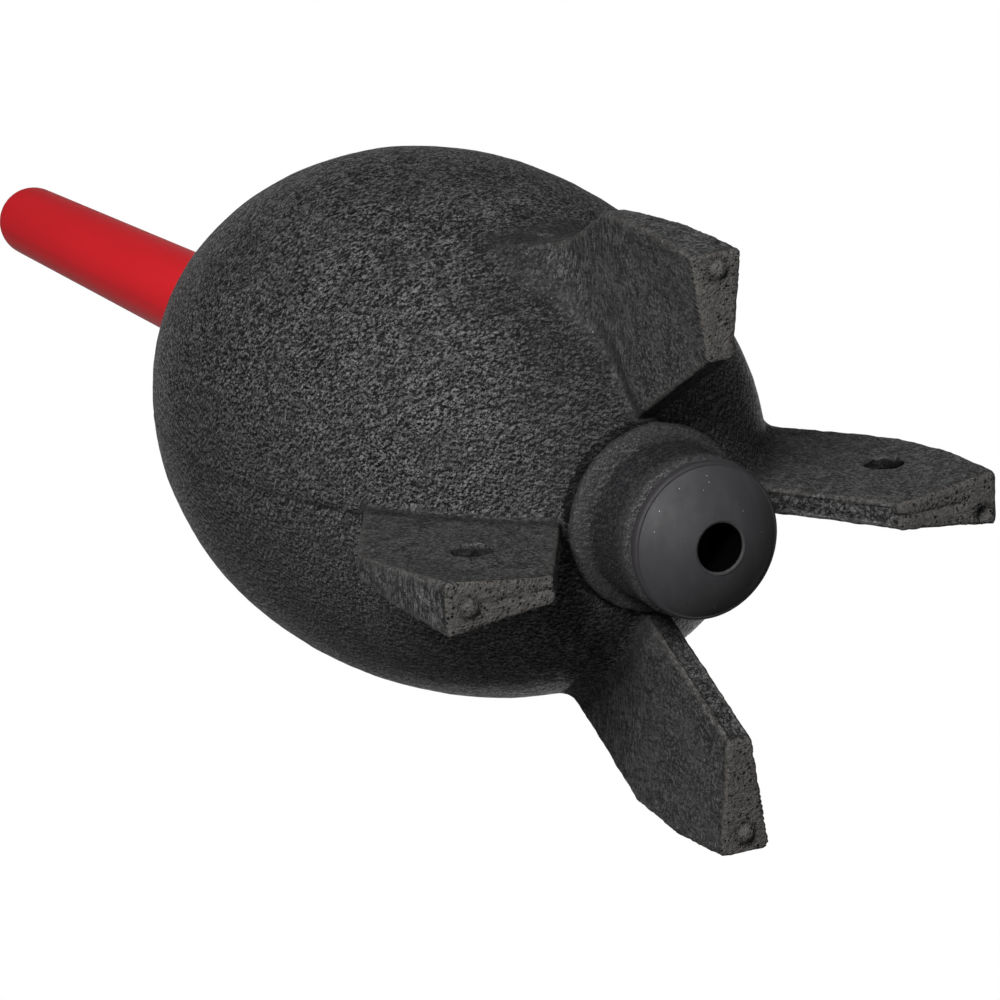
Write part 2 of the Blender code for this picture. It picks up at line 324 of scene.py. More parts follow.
def bulb_distance(x, y, z):
    """The bulb's outside: turned body, four fins with fillets at their roots, cord holes, foot pips."""
    u, v, along_x = fin_planes(x, y)
    body, outline, sides = bulb_parts(x, y, z)
    fin = smooth_max(outline, sides, EDGE_ROUND)
    blend = np.where(~along_x & (y < 0), LOWER_FIN_BLEND * ramp(z, *LOWER_FIN_BLEND_Z), 0.0)
    shape = smooth_min(body, fin, ROOT_FILLET + blend)
    for side, (at_u, at_z) in CORD_HOLES.items():
        hole = CORD_HOLE_RADIUS - np.hypot(u - at_u, z - at_z)
        here = along_x & (u > CORD_HOLE_REGION) & ((x > 0) == (side == "right"))
        shape = np.where(here, smooth_max(shape, hole, CORD_HOLE_ROUND), shape)
    for at_x, at_y in PIPS:
        pip = np.sqrt((x - at_x) ** 2 + (y - at_y) ** 2 + (z - PIP_CENTRE_Z) ** 2) - PIP_RADIUS
        shape = smooth_min(shape, pip, PIP_FILLET)
    pit = np.sqrt((x - PIT[0]) ** 2 + (y - PIT[1]) ** 2 + z**2) - PIT_RADIUS
    return smooth_max(shape, -pit, PIT_ROUND)


def gradient(x, y, z, step=0.05):
    """Which way the distance to the bulb's outside grows fastest, and how fast, at each point."""
    parts = []
    for dx, dy, dz in ((step, 0, 0), (0, step, 0), (0, 0, step)):
        ahead = bulb_distance(x + dx, y + dy, z + dz)
        behind = bulb_distance(x - dx, y - dy, z - dz)
        parts.append((ahead - behind) / (2 * step))
    return np.stack(parts, axis=1)


# ---- The bulb's skin ----

# One vertex stands in each cell that the surface crosses, on a grid wrapped round the egg.
# How finely the skin is cut, as stops: (position, spacing from there to the next position)
CURVE_STOPS = ((0, 0.7), (6, 0.4), (34, 0.5), (46, 0.85))  # millimetres from the lower pole, over the bulb
NOSE_LENGTH, NOSE_SPACING = 12, 0.6
TURN_STOPS = ((-45, 1.5), (-9, 0.8), (-4, 0.66), (4, 0.8), (9, 1.5), (45, 0))  # degrees from a fin's plane
LEVEL_STOPS = ((0.93, 0.011), (0.96, 0.007), (1.03, 0.0115), (1.3, 0.0095), (1.7, 0))  # sizes of the egg
CURVE_STEPS = 400
POLE_RADIUS = 0.3
SETTLING_ROUNDS, LONGEST_PUSH, LEAST_SLOPE = 3, 0.2, 0.25


def spaced(stops):
    """Numbers from the first stop's position to the last one's, at the stops' spacings."""
    out = []
    for (low, step), (high, _) in zip(stops, stops[1:]):
        count = max(1, round((high - low) / step))
        out += list(np.linspace(low, high, count, endpoint=False))
    return np.array(out + [stops[-1][0]])


def carrier_curve():
    """The egg's own outline from pole to pole, at the spacing that the skin needs along it."""
    points = [(0, WIDEST_Z - LOWER_HEIGHT)]
    points += ellipse_below(BULB_RADIUS, LOWER_HEIGHT, POLE_RADIUS, CURVE_STEPS)
    points = np.array(points + bezier(*OGIVE, CURVE_STEPS)[1:] + nose_end()[1:], float)
    lengths = np.concatenate([[0], np.cumsum(np.hypot(*np.diff(points, axis=0).T))])
    total = lengths[-1]
    at = spaced([*CURVE_STOPS, (total - NOSE_LENGTH, NOSE_SPACING), (total, 0)])
    return np.stack([np.interp(at, lengths, points[:, k]) for k in (0, 1)], axis=1)


def turns():
    """Angles round the axis, closer together in the four fins' planes."""
    quarter = spaced(TURN_STOPS)[:-1]
    return np.radians(np.concatenate([quarter + 90 * k for k in range(4)]))


def skin_places(curve, angles, levels):
    """x, y, z of grid points: levels scales the carrier curve out from the egg's centre."""
    r = curve[..., 0] * levels
    z = WIDEST_Z + (curve[..., 1] - WIDEST_Z) * levels
    return r * np.cos(angles), r * np.sin(angles), z


def skin_field(curve, angles, levels):
    """The distance to the bulb's outside at every point of the wrapped grid."""
    field = np.empty((len(curve), len(angles), len(levels)), np.float32)
    for k, angle in enumerate(angles):
        x, y, z = skin_places(curve[:, None, :], angle, levels[None, :])
        field[:, k, :] = bulb_distance(x, y, z)
    return field


def cell_points(field, a, b, c):
    """Where the surface runs in each crossed cell, as shares of the cell's sides."""
    corners = np.array([(i, j, k) for i in (0, 1) for j in (0, 1) for k in (0, 1)])
    count_b = field.shape[1]
    values = [field[a + i, (b + j) % count_b, c + k] for i, j, k in corners]
    total = np.zeros((len(a), 3))
    crossings = np.zeros(len(a))
    for p in range(8):
        for q in range(p + 1, 8):
            if np.abs(corners[p] - corners[q]).sum() != 1:
                continue
            crossed = (values[p] < 0) != (values[q] < 0)
            t = np.where(crossed, values[p] / np.where(crossed, values[p] - values[q], 1), 0)
            spot = corners[p] + t[:, None] * (corners[q] - corners[p])
            total += spot * crossed[:, None]
            crossings += crossed
    return total / crossings[:, None]


def skin_quads(inside, index):
    """A quad round each grid edge that passes through the surface, and one face over each pole."""
    quads = []
    count_b = inside.shape[1]

    def add(flips, cells):
        for keep, order in ((flips > 0, (3, 2, 1, 0)), (flips < 0, (0, 1, 2, 3))):
            picked = [cells[k][keep] for k in order]
            quads.append(np.stack(picked, axis=1))

    solid = inside.astype(np.int8)
    a, b, c = np.nonzero(solid[1:] != solid[:-1])
    keep = (c > 0) & (c < inside.shape[2] - 1)
    a, b, c = a[keep], b[keep], c[keep]
    before = (b - 1) % count_b
    flips = solid[a, b, c].astype(int) - solid[a + 1, b, c]
    add(flips, [index[a, before, c - 1], index[a, b, c - 1], index[a, b, c], index[a, before, c]])

    a, b, c = np.nonzero(solid != np.roll(solid, -1, axis=1))
    keep = (a > 0) & (a < inside.shape[0] - 1) & (c > 0) & (c < inside.shape[2] - 1)
    a, b, c = a[keep], b[keep], c[keep]
    flips = solid[a, b, c].astype(int) - solid[a, (b + 1) % count_b, c]
    add(-flips, [index[a - 1, b, c - 1], index[a, b, c - 1], index[a, b, c], index[a - 1, b, c]])

    a, b, c = np.nonzero(solid[:, :, 1:] != solid[:, :, :-1])
    keep = (a > 0) & (a < inside.shape[0] - 1)
    a, b, c = a[keep], b[keep], c[keep]
    before = (b - 1) % count_b
    flips = solid[a, b, c].astype(int) - solid[a, b, c + 1]
    add(flips, [index[a - 1, before, c], index[a, before, c], index[a, b, c], index[a - 1, b, c]])

    poles = []
    for a, order in ((0, -1), (inside.shape[0] - 1, 1)):
        level = int(np.nonzero(solid[a, 0, 1:] != solid[a, 0, :-1])[0][0])
        poles.append(list(index[min(a, index.shape[0] - 1), ::order, level]))
    return np.concatenate(quads), poles


def between(values, cell, share):
    return values[cell] * (1 - share) + values[cell + 1] * share


def bulb_skin():
    """Points and faces of the bulb's closed outside, each point set exactly on the surface."""
    curve, angles = carrier_curve(), turns()
    levels = spaced(LEVEL_STOPS)
    field = skin_field(curve, angles, levels)
    inside = field < 0
    next_turn = np.roll(inside, -1, axis=1)
    some, every = inside | next_turn, inside & next_turn
    some, every = some[1:] | some[:-1], every[1:] & every[:-1]
    crossed = (some[:, :, 1:] | some[:, :, :-1]) & ~(every[:, :, 1:] & every[:, :, :-1])
    a, b, c = np.nonzero(crossed)
    index = np.full(crossed.shape, -1, np.int64)
    index[a, b, c] = np.arange(len(a))
    share = cell_points(field, a, b, c)
    wrapped = np.append(angles, angles[0] + 2 * math.pi)
    spot = between(curve, a, share[:, :1])
    x, y, z = skin_places(spot, between(wrapped, b, share[:, 1]), between(levels, c, share[:, 2]))
    for _ in range(SETTLING_ROUNDS):
        slope = gradient(x, y, z)
        size = np.maximum((slope**2).sum(axis=1), LEAST_SLOPE)
        push = np.clip(bulb_distance(x, y, z) / size, -LONGEST_PUSH, LONGEST_PUSH)[:, None] * slope
        x, y, z = x - push[:, 0], y - push[:, 1], z - push[:, 2]
    quads, poles = skin_quads(inside, index)
    return np.stack([x, y, z], axis=1), quads, poles


def mesh_from(name, points, quads, poles):
    mesh = bpy.data.meshes.new(name)
    faces = quads.tolist() + [list(map(int, face)) for face in poles]
    mesh.from_pydata((points * MM).tolist(), [], faces)
    mesh.validate()
    mesh.update()
    return mesh


def jitter(points, size, seed=0.0):
    """Smooth noise between -1 and 1 at each point, with features of about this size in millimetres."""
    shift = Vector((seed, seed * 1.7, seed * 0.6))
    return np.array([noise.noise(Vector(p) / size + shift) for p in points.tolist()])


class Zones:
    """Which part of the bulb's surface each point lies on, as shares from 0 to 1.

    Zones meet in soft steps. Each pair here says where a step starts and ends, in millimetres.
    """

    OFF_BODY = (0.15, 1.0)
    INSIDE_WALL = (0.4, 0.8)
    FOOT_TOP = (0.3, 0.9)
    SIDE_RIM = (-0.75, -0.35)
    OUTLINE_RIM = (-0.9, -0.3)
    LEADING_FROM = (19.4, 20.0)
    CORNER_WIDTH = (0.1, 0.75)
    BAND_FROM, BAND_TO = (0.1, 0.7), (1.4, 2.6)
    NECK_OUT, NECK_TO = (9.7, 10.0), (15.5, 15.9)
    RING_FROM = (13.6, 14.6)
    LIP_TO = (7.8, 8.8)
    CREVICE_OUT, CREVICE_FROM, CREVICE_TO = (9.25, 9.9), (15.45, 15.7), (16.0, 16.6)
    NOSE_FROM = (84, 104)
    # where painted shade darkens the bulb beside the lower fin
    DULL_HALF, DULL_FROM, DULL_TO = (5, 15), (12, 16), (30, 46)
    SEAM_HALF = (0.12, 0.42)
    STREAKS_FROM = (12, 20)
    SIDE_STREAKS = (0.35, 0.9)  # how drawn out the sides are: on the fins along X, and on the other two
    HOLE_WALL = (CORD_HOLE_RADIUS - 0.02, CORD_HOLE_RADIUS + 0.12)
    HALO_FROM, HALO_TO = (PIP_RADIUS - 0.25, PIP_RADIUS), (PIP_RADIUS + 0.1, PIP_RADIUS + 0.5)

    def __init__(self, points):
        x, y, z = points.T
        self.u, self.v, self.along_x = fin_planes(x, y)
        body, outline, sides = bulb_parts(x, y, z)
        from_axis = np.hypot(x, y)
        low = fade(z, *self.FOOT_TOP)
        self.inner = ramp(-body, *self.INSIDE_WALL)
        self.fin = ramp(body, *self.OFF_BODY)
        self.foot = self.fin * low
        face = self.fin * fade(sides, *self.SIDE_RIM) * (1 - low) * ramp(outline, *self.OUTLINE_RIM)
        self.leading = face * ramp(self.u, *self.LEADING_FROM)
        self.trailing = face * fade(self.u, *self.LEADING_FROM)
        corner = fade(np.abs(sides), *self.CORNER_WIDTH) * fade(np.abs(outline), *self.CORNER_WIDTH)
        self.edge = self.fin * corner
        # the band along the fins' roots: painted shade in its colour, and weaker grain
        self.band = ramp(body, *self.BAND_FROM) * fade(body, *self.BAND_TO) * (1 - self.leading)
        self.neck = fade(from_axis, *self.NECK_OUT) * fade(z, *self.NECK_TO)
        self.ring = self.neck * ramp(z, *self.RING_FROM)
        self.lip = self.neck * fade(z, *self.LIP_TO)
        crevice = ramp(z, *self.CREVICE_FROM) * fade(z, *self.CREVICE_TO)
        self.crevice = crevice * fade(from_axis, *self.CREVICE_OUT)
        self.nose = ramp(z, *self.NOSE_FROM) * (1 - self.fin)
        beside = (y < 0) * fade(np.abs(x), *self.DULL_HALF)
        self.dull = beside * ramp(z, *self.DULL_FROM) * fade(z, *self.DULL_TO) * (1 - self.fin)
        seam = fade(np.abs(self.v), *self.SEAM_HALF) * self.along_x
        self.seam = seam * (1 - self.foot) * (1 - self.neck)
        self.side = self.fin * (1 - self.foot) * (1 - self.leading) * (1 - self.trailing)
        drawn = np.where(self.along_x, *self.SIDE_STREAKS)
        self.streaks = self.leading + self.side * ramp(z, *self.STREAKS_FROM) * drawn
        self.hole = np.zeros(len(points))
        for fin, (at_u, at_z) in CORD_HOLES.items():
            here = self.along_x & ((x > 0) == (fin == "right"))
            deep = fade(np.hypot(self.u - at_u, z - at_z), *self.HOLE_WALL)
            self.hole = np.maximum(self.hole, np.where(here, deep, 0))
        to_pip = np.min([np.hypot(x - at_x, y - at_y) for at_x, at_y in (*PIPS, PIT)], axis=0)
        self.halo = self.foot * ramp(to_pip, *self.HALO_FROM) * fade(to_pip, *self.HALO_TO)


# The skin's relief: sizes of its features and heights that they reach, in millimetres
SWELL_SIZE, SWELL = 9.0, 0.10
RIPPLE_SIZE, RIPPLE = 3.1, 0.05
COARSE_SIZE, COARSE = 1.1, 0.035
FINE_SIZE = 0.6
ROUGH = 0.05
NECK_SMOOTHING = 0.7
TEAR_DEPTH, TEARS_OVER = 0.16, 0.2
FLASH_HEIGHT, FLASH_OVER = 0.30, -0.35
SEAM_RIDGE, SEAM_GROOVE = 0.20, 0.16
SEAM_RIDGE_FROM, SEAM_RIDGE_TO = (40, 60), (66, 80)
SPLIT_DEPTH, SPLIT_WANDER = 0.35, 0.25
SPLIT_HALF, SPLIT_TO = (0.05, 0.3), (26.0, 27.0)
CREVICE_NICKS = 0.12


def skin_relief(points):
    """How far each point of the skin stands off its smooth surface: moulding marks, torn feet, flash."""
    zones = Zones(points)
    z = points[:, 2]
    coarse = jitter(points, COARSE_SIZE, seed=11.0)
    fine = jitter(points, FINE_SIZE, seed=23.0)
    soft = jitter(points, SWELL_SIZE) * SWELL + jitter(points, RIPPLE_SIZE, seed=5.0) * RIPPLE
    relief = soft * (1 - zones.neck)
    relief += COARSE * coarse * (1 - zones.trailing) * (1 - NECK_SMOOTHING * zones.neck)
    relief += zones.foot * (ROUGH * fine - TEAR_DEPTH * np.maximum(coarse - TEARS_OVER, 0))
    relief += (zones.edge + zones.ring + zones.lip) * ROUGH * (coarse + fine)
    relief += zones.leading * ROUGH * coarse
    flash = zones.seam * (zones.leading + zones.trailing)
    relief += flash * FLASH_HEIGHT * np.maximum(coarse - FLASH_OVER, 0)
    line = zones.seam * (1 - zones.fin) * (1 - zones.inner)
    ridge = ramp(z, *SEAM_RIDGE_FROM) * fade(z, *SEAM_RIDGE_TO)
    relief += line * (SEAM_RIDGE * ridge - SEAM_GROOVE * (1 - ridge))
    wander = np.abs(zones.v + SPLIT_WANDER * coarse)
    relief -= SPLIT_DEPTH * zones.foot * zones.along_x * fade(wander, *SPLIT_HALF) * fade(zones.u, *SPLIT_TO)
    return relief - CREVICE_NICKS * zones.crevice * np.maximum(fine, 0)


def cavity_outline():
    """The air space, the nozzle's socket above it and the neck's bore below it, run out past both ends."""
    past, steps = 2, 16
    bore = [(0, NECK_END_Z - past), (NECK_BORE + MOUTH_BEVEL, NECK_END_Z - past)]
    bore += [(NECK_BORE + MOUTH_BEVEL, NECK_END_Z), (NECK_BORE, NECK_END_Z + MOUTH_BEVEL)]
    egg = ellipse_below(BULB_RADIUS - WALL, LOWER_HEIGHT - WALL, NECK_BORE, steps)
    ogive = bezier(*INNER_OGIVE, steps)[1:]
    socket = [(SOCKET_RADIUS, SOCKET_BOTTOM_Z), (SOCKET_RADIUS, NOSE_Z - MOUTH_BEVEL)]
    socket += [(SOCKET_RADIUS + MOUTH_BEVEL, NOSE_Z), (SOCKET_RADIUS + MOUTH_BEVEL, NOSE_Z + past)]
    return bore + egg + ogive + socket + [(0, NOSE_Z + past)]


FINE_TURN, PLAIN_TURN, SMALL_TURN = 128, 72, 24  # steps round the axis


def turned_mesh(name, outline, steps, relief=None):
    """A mesh turned about Z from a closed outline of (r, z) points; a point at r = 0 is on the axis."""
    shape = bmesh.new()
    rings = []
    for r, z in outline:
        if r == 0:
            rings.append([shape.verts.new((0, 0, z * MM))])
            continue
        ring = []
        for i in range(steps):
            angle = 2 * math.pi * i / steps
            out = r + (relief(r, angle, z) if relief else 0)
            ring.append(shape.verts.new((out * math.cos(angle) * MM, out * math.sin(angle) * MM, z * MM)))
        rings.append(ring)
    for lower, upper in zip(rings, rings[1:] + rings[:1]):
        if len(lower) == 1 and len(upper) == 1:
            continue
        for i in range(steps):
            j = (i + 1) % steps
            below = [lower[i % len(lower)], lower[j % len(lower)]]
            above = [upper[j % len(upper)], upper[i % len(upper)]]
            shape.faces.new(list(dict.fromkeys(below + above)))
    bmesh.ops.recalc_face_normals(shape, faces=shape.faces)
    mesh = bpy.data.meshes.new(name)
    shape.to_mesh(mesh)
    shape.free()
    return mesh


def link(name, mesh, finish, sharp):
    """An object in the scene with this mesh and material; edges over the sharp angle stay crisp."""
    made = bpy.data.objects.new(name, mesh)
    made.data.materials.clear()
    made.data.materials.append(finish)
    bpy.context.scene.collection.objects.link(made)
    made.data.shade_smooth()
    if sharp:
        made.data.set_sharp_from_angle(angle=math.radians(sharp))
    return made


def hollowed(solid, tool):
    """The solid's mesh with the tool cut out of it."""
    body = bpy.data.objects.new("hollowing", solid)
    cutter = bpy.data.objects.new("hollowing_tool", tool)
    for item in (body, cutter):
        bpy.context.scene.collection.objects.link(item)
    cut = body.modifiers.new("cavity", "BOOLEAN")
    cut.operation = "DIFFERENCE"
    cut.solver = "MANIFOLD"
    cut.object = cutter
    graph = bpy.context.evaluated_depsgraph_get()
    mesh = bpy.data.meshes.new_from_object(body.evaluated_get(graph))
    for item in (body, cutter):
        bpy.data.objects.remove(item)
    return mesh


GRAIN_LOST = {"nose": 0.5, "fin": 0.3, "neck": 0.8, "trailing": 1.0, "band": 0.4}
LEAST_GRAIN = 0.06


def write_zones(mesh):
    """Keeps the zones on the mesh, for the material to read."""
    points = np.empty(len(mesh.vertices) * 3)
    mesh.vertices.foreach_get("co", points)
    zones = Zones(points.reshape(-1, 3) / MM)
    plain = ("side", "dull", "hole", "halo", "streaks", "foot", "fin", "edge", "band", "neck", "inner")
    values = {name: getattr(zones, name) for name in plain}
    lost = sum(share * getattr(zones, name) for name, share in GRAIN_LOST.items())
    values["grain"] = np.maximum(1 - lost, LEAST_GRAIN)
    values["lip"] = zones.lip + zones.ring
    values["seam"] = zones.seam * (1 - zones.fin)
    for name, value in values.items():
        layer = mesh.attributes.new(name, "FLOAT", "POINT")
        layer.data.foreach_set("value", np.clip(value, 0, 1).astype(np.float32))


def bulb_body(finish):
    """The hollow rubber bulb with its neck and four fins."""
    points, quads, poles = bulb_skin()
    slope = gradient(*points.T)
    slope /= np.maximum(np.linalg.norm(slope, axis=1), 1e-6)[:, None]
    points = points + slope * skin_relief(points)[:, None]
    solid = mesh_from("bulb_solid", points, quads, poles)
    mesh = hollowed(solid, turned_mesh("cavity", cavity_outline(), FINE_TURN))
    mesh.name = "bulb_rubber"
    write_zones(mesh)
    piece("bulb_rubber", mesh, finish, "bulb", "bulb_body", sharp=None)


# ---- Turned pieces ----


def piece(name, mesh, finish, body, node, sharp=30):
    """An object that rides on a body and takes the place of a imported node."""
    made = link(name, mesh, finish, sharp)
    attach(made, body)
    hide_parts(node)


def red_nozzle(finish):
    """A tapered tube with a round tip; its spigot, with two grip grooves, sits in the bulb's socket."""
    tip_radius, base_radius, spigot, outlet = 4.45, NOZZLE_HIGH.x, 4.6, 1.25
    tail_bore, shaft_bore, bore_step, outlet_length = 2.9, 2.3, 12, 6
    groove_ends, groove_depth, groove_slope = ((4.0, 5.6), (9.0, 10.6)), 0.4, 0.3
    tail_round, base_round, lip_round = 0.5, 0.35, 0.3
    seam_height, seam_width, seam_from, unevenness = 0.035, 0.035, 3.5, 0.012
    top, end, base = NOZZLE_HIGH.z, NOZZLE_LOW.z, NOSE_Z + 0.3
    tip_centre = top - math.sqrt(tip_radius**2 - outlet**2)
    rim = math.degrees(math.acos((outlet + 0.25) / tip_radius))
    outline = [(tail_bore, end), (spigot - tail_round, end)]
    outline += arc((spigot - tail_round, end + tail_round), tail_round, -80, 0, 4)
    for low, high in groove_ends:
        outline += [(spigot, end + low), (spigot - groove_depth, end + low + groove_slope)]
        outline += [(spigot - groove_depth, end + high - groove_slope), (spigot, end + high)]
    outline += [(spigot, base)] + arc((base_radius - base_round, base + base_round), base_round, -90, 0, 5)
    for share in np.linspace(0, 1, 40)[1:-1]:
        z = base + base_round + (tip_centre - base) * share
        outline.append((base_radius + (tip_radius - base_radius) * share, z))
    outline += arc((0, tip_centre), tip_radius, 2, rim, 24)
    outline += arc((outlet + lip_round, top - 0.45), lip_round, 110, 180, 5)
    outline += [(outlet, top - outlet_length), (shaft_bore, top - bore_step)]

    def relief(r, angle, z):
        seam = math.exp(-((math.sin(angle) / seam_width) ** 2)) * seam_height
        outside = r > seam_from and z > base + 0.5
        return (seam if outside else 0) + unevenness * math.sin(2 * angle + z * 0.05)

    mesh = turned_mesh("nozzle_tube", outline, FINE_TURN, relief)
    piece("nozzle_tube", mesh, finish, "nozzle", "nozzle")


def inlet_plug(finish):
    """The smooth stopper in the tail neck: domed face, centre hole, and the pocket that holds the valve."""
    head, head_top, edge, edge_z, hole, face_z = 7.88, 5.8, 7.6, 4.87, 2.36, PLUG_LOW.z
    shank, taper_in, taper_up, end = 5.7, 0.6, 0.8, PLUG_HIGH.z
    hole_round, head_round, unevenness = 0.4, 0.2, 0.02
    pocket, pocket_floor, pocket_top, throat = 4.0, 8.0, 14.7, 3.3
    rise, run = edge_z - face_z, edge**2 - hole**2
    centre = face_z + (rise**2 + run) / (2 * rise)
    dome = math.hypot(hole, centre - face_z)
    start = -math.degrees(math.acos((hole + 0.35) / dome))
    stop = -math.degrees(math.acos((edge - 0.1) / dome))
    outline = arc((hole + hole_round, face_z + 0.42), hole_round, 180, 265, 6)
    outline += arc((0, centre), dome, start, stop, 30)
    outline += bezier((edge + 0.05, edge_z - 0.1), (head - 0.02, edge_z + 0.02), (head, edge_z + 0.1),
                      (head, edge_z + 0.3), 6)
    outline += arc((head - head_round, head_top - head_round), head_round, 0, 90, 4)
    outline += [(shank, head_top), (shank, end - taper_up), (shank - taper_in, end), (throat, end)]
    outline += [(throat, pocket_top), (pocket, pocket_top), (pocket, pocket_floor), (hole, pocket_floor)]

    def relief(r, angle, z):
        return unevenness * math.sin(3 * angle + 1.0) if z < head_top and r > hole + 0.5 else 0

    mesh = turned_mesh("plug", outline, FINE_TURN, relief)
    piece("plug", mesh, finish, "inlet_plug", "inlet_plug")


def valve_seat(finish):
    """The ring in the plug that the disc rests on, with a round lip."""
    low, high, outer, bevel = SEAT_LOW.z, SEAT_HIGH.z, SEAT_HIGH.x, 0.15
    bore, lip, lip_round, lip_foot, shoulder = 1.6, 1.95, 0.2, 2.3, high - 0.6
    outline = [(bore, low + bevel), (bore + bevel, low), (outer - bevel, low), (outer, low + bevel)]
    outline += [(outer, shoulder - bevel), (outer - bevel, shoulder), (lip_foot, shoulder)]
    outline += arc((lip, high - lip_round), lip_round, 20, 160, 8)
    mesh = turned_mesh("valve_seat_ring", outline, PLAIN_TURN)
    piece("valve_seat_ring", mesh, finish, "inlet_plug", "valve_seat")


def valve_disc(finish):
    """The loose disc, round at its edge, with a shallow dimple on top."""
    low, high, outer = DISC_LOW.z, DISC_HIGH.z, DISC_HIGH.x
    middle, edge_round, dimple, dimple_z = (low + high) / 2, 0.28, 0.9, high - 0.06
    outline = [(0, low), (outer - 0.3, low)] + arc((outer - edge_round, middle), edge_round, -80, 80, 10)
    outline += [(outer - 0.3, high), (dimple, high), (dimple - 0.15, dimple_z), (0, dimple_z)]
    mesh = turned_mesh("valve_flap", outline, PLAIN_TURN)
    piece("valve_flap", mesh, finish, "valve_disc", "valve_disc")


def valve_cage(finish):
    """A small cup over the disc, with four air holes and a centre boss that stops the disc."""
    low, high, outer, inner, bevel = CAGE_LOW.z, CAGE_HIGH.z, CAGE_HIGH.x, 3.1, 0.15
    plate, boss_end, boss, hole, hole_circle = high - 1.0, DISC_HIGH.z + 1.1, 0.8, 0.75, 2.0
    outline = [(0, boss_end), (boss - bevel, boss_end), (boss, boss_end + bevel), (boss, plate)]
    outline += [(inner, plate), (inner, low + 0.1), (inner + 0.1, low)]
    outline += [(outer - bevel, low), (outer, low + bevel)]
    outline += [(outer, high - 0.2), (outer - 0.2, high), (0, high)]
    drill = [(0, boss_end), (hole, boss_end), (hole, high + 1), (0, high + 1)]
    mesh = turned_mesh("valve_cup", outline, PLAIN_TURN)
    for i in range(4):
        angle = math.radians(45 + 90 * i)
        cutter = turned_mesh("air_hole", drill, SMALL_TURN)
        out = hole_circle * MM
        cutter.transform(Matrix.Translation((out * math.cos(angle), out * math.sin(angle), 0)))
        mesh = hollowed(mesh, cutter)
    piece("valve_cup", mesh, finish, "inlet_plug", "valve_cage")


# ---- Materials ----


# this direction only sets where the grain's painted light and painted shade fall in its colour
GRAIN_LIGHT = (-0.5, 0.85, 0.2)  # the lit side of the grain, as the camera sees it: right, up and back


def grey(tone):
    return (tone, tone, tone)


class Finish:
    """A material's node tree. Sizes are in millimetres: its coordinates are the object's, times 1000."""

    def __init__(self, name):
        self.material = bpy.data.materials.new(name)
        self.material.use_nodes = True
        self.tree = self.material.node_tree
        self.tree.nodes.clear()
        place = self.add("ShaderNodeTexCoord", out="Object")
        self.place = self.add("ShaderNodeVectorMath", place, settings={"operation": "SCALE"}, Scale=1000.0)

    def add(self, kind, *inputs, out=0, settings=None, **named):
        node = self.tree.nodes.new(kind)
        for key, value in (settings or {}).items():
            setattr(node, key, value)
        named_inputs = [(key.replace("_", " "), value) for key, value in named.items()]
        for socket, value in list(enumerate(inputs)) + named_inputs:
            if isinstance(value, bpy.types.NodeSocket):
                self.tree.links.new(value, node.inputs[socket])
            elif value is not None:
                node.inputs[socket].default_value = value
        return node.outputs[out]

    def math(self, operation, a, b=None):
        return self.add("ShaderNodeMath", a, b, settings={"operation": operation})

    def times(self, a, b):
        return self.math("MULTIPLY", a, b)

    def stretched(self, x, y, z):
        """The place, with its coordinates scaled; below 1, a pattern is drawn out that way."""
        return self.add("ShaderNodeVectorMath", self.place, (x, y, z), settings={"operation": "MULTIPLY"})

    def shifted(self, by):
        """The place, moved this many millimetres towards the grain's painted light."""
        towards = seen_from_camera(*GRAIN_LIGHT) * by
        return self.add("ShaderNodeVectorMath", self.place, tuple(towards), settings={"operation": "ADD"})

    def across(self):
        """Distance from the object's axis."""
        settings = {"operation": "LENGTH"}
        return self.add("ShaderNodeVectorMath", self.stretched(1, 1, 0), settings=settings, out="Value")

    def height(self):
        return self.add("ShaderNodeSeparateXYZ", self.place, out=2)

    def noise(self, size, detail=2.0, roughness=0.5, place=None):
        return self.add("ShaderNodeTexNoise", Vector=place or self.place, Scale=1 / size, Detail=detail,
                        Roughness=roughness)

    def veins(self, size, detail, roughness, place=None):
        """Nought along thin winding lines, rising to both sides of them."""
        return self.math("ABSOLUTE", self.math("SUBTRACT", self.noise(size, detail, roughness, place), 0.5))

    def cells(self, size, out="Distance", place=None):
        return self.add("ShaderNodeTexVoronoi", Vector=place or self.place, Scale=1 / size, out=out)

    def span(self, value, low, high, to_low=0.0, to_high=1.0):
        """A soft step from to_low to to_high while the value goes from low to high."""
        settings = {"interpolation_type": "SMOOTHSTEP"}
        return self.add("ShaderNodeMapRange", value, low, high, to_low, to_high, settings=settings)

    def zone(self, name):
        return self.add("ShaderNodeAttribute", out="Fac", settings={"attribute_name": name})

    def mix(self, factor, a, b):
        """Numbers a and b by the factor."""
        return self.add("ShaderNodeMix", factor, None, a, b)

    def blend(self, factor, a, b):
        """Colours a and b by the factor."""
        node = self.tree.nodes.new("ShaderNodeMix")
        node.data_type = "RGBA"
        for socket, value in ((0, factor), (6, a), (7, b)):
            if isinstance(value, bpy.types.NodeSocket):
                self.tree.links.new(value, node.inputs[socket])
            else:
                node.inputs[socket].default_value = (*value, 1.0)
        return node.outputs[2]

    def specks(self, size, share, radius, place=None):
        """Sparse round specks: cells picked at random, shown within a radius given in cell widths."""
        near = self.span(self.cells(size, place=place), radius, radius * 0.6)
        chance = self.add("ShaderNodeSeparateColor", self.cells(size, out="Color", place=place))
        return self.times(near, self.span(chance, 1 - share, 1 - share + 0.001))

    def bump(self, height, distance):
        """Height 0 to 1 stands for this distance in millimetres."""
        return self.add("ShaderNodeBump", Strength=1.0, Distance=distance * MM, Height=height)

    def surface(self, colour, roughness, normal, **more):
        shader = self.add("ShaderNodeBsdfPrincipled", Base_Color=colour, Roughness=roughness, Normal=normal,
                          **more)
        output = self.tree.nodes.new("ShaderNodeOutputMaterial")
        self.tree.links.new(shader, output.inputs["Surface"])
        return self.material


